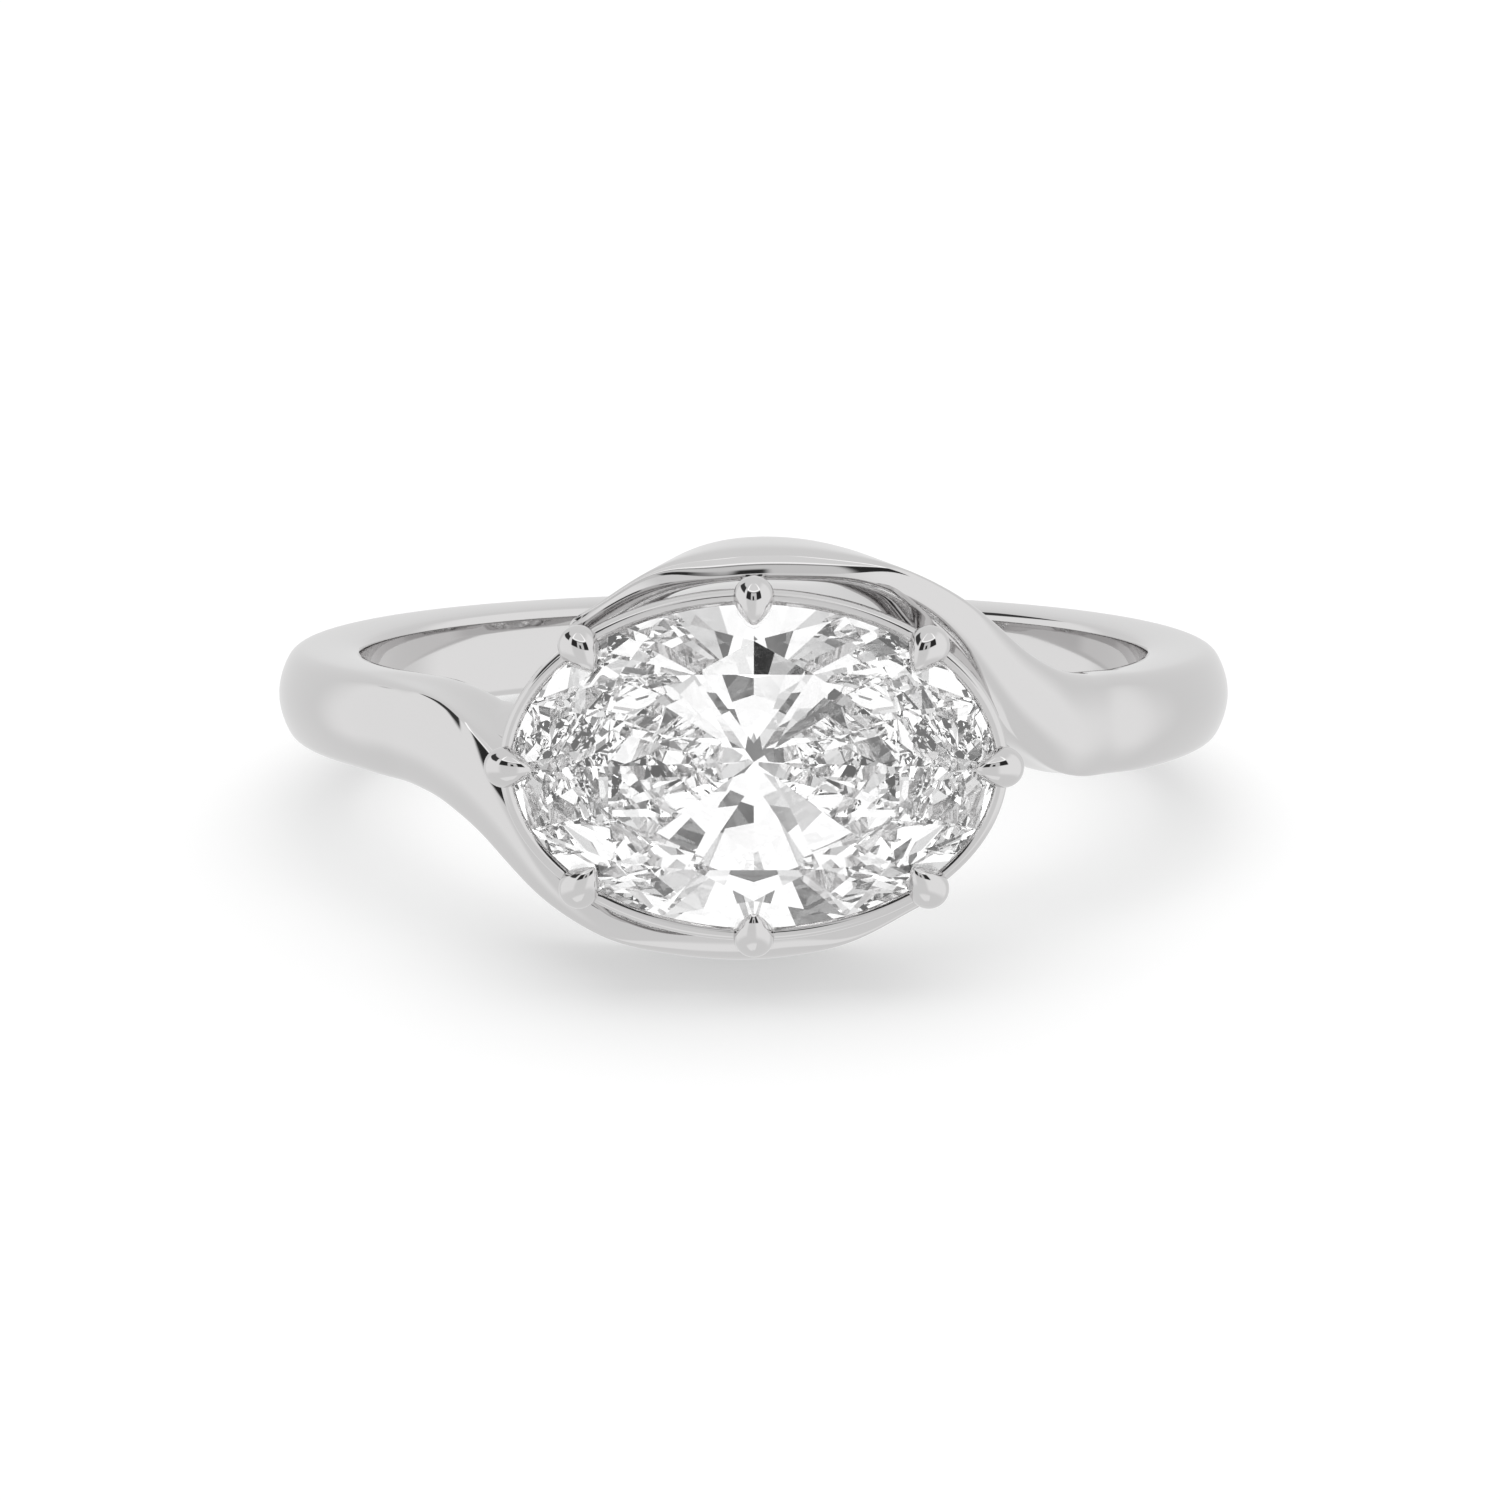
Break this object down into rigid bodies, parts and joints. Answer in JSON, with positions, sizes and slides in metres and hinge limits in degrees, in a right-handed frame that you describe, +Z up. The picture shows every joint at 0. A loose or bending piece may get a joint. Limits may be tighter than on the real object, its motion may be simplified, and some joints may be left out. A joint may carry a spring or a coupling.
{
  "type": "claw-set ring",
  "caption": "Polished bypass finger ring holding an oval brilliant stone across the finger in a low claw basket.",
  "frame": {"origin": "centre of the ring's box at the height of the ground it lies on", "axes": "+Z up, the ring lying on its side; -Y towards the stone, +X along the stone's length"},
  "size_m": [0.0206, 0.0236, 0.0087],
  "materials": {
    "white_metal": "polished white gold",
    "clear_stone": "cut and polished"
  },
  "bodies": {
    "root": {"ring_mounting": "white_metal", "oval_stone": "clear_stone"}
  },
  "joints": []
}
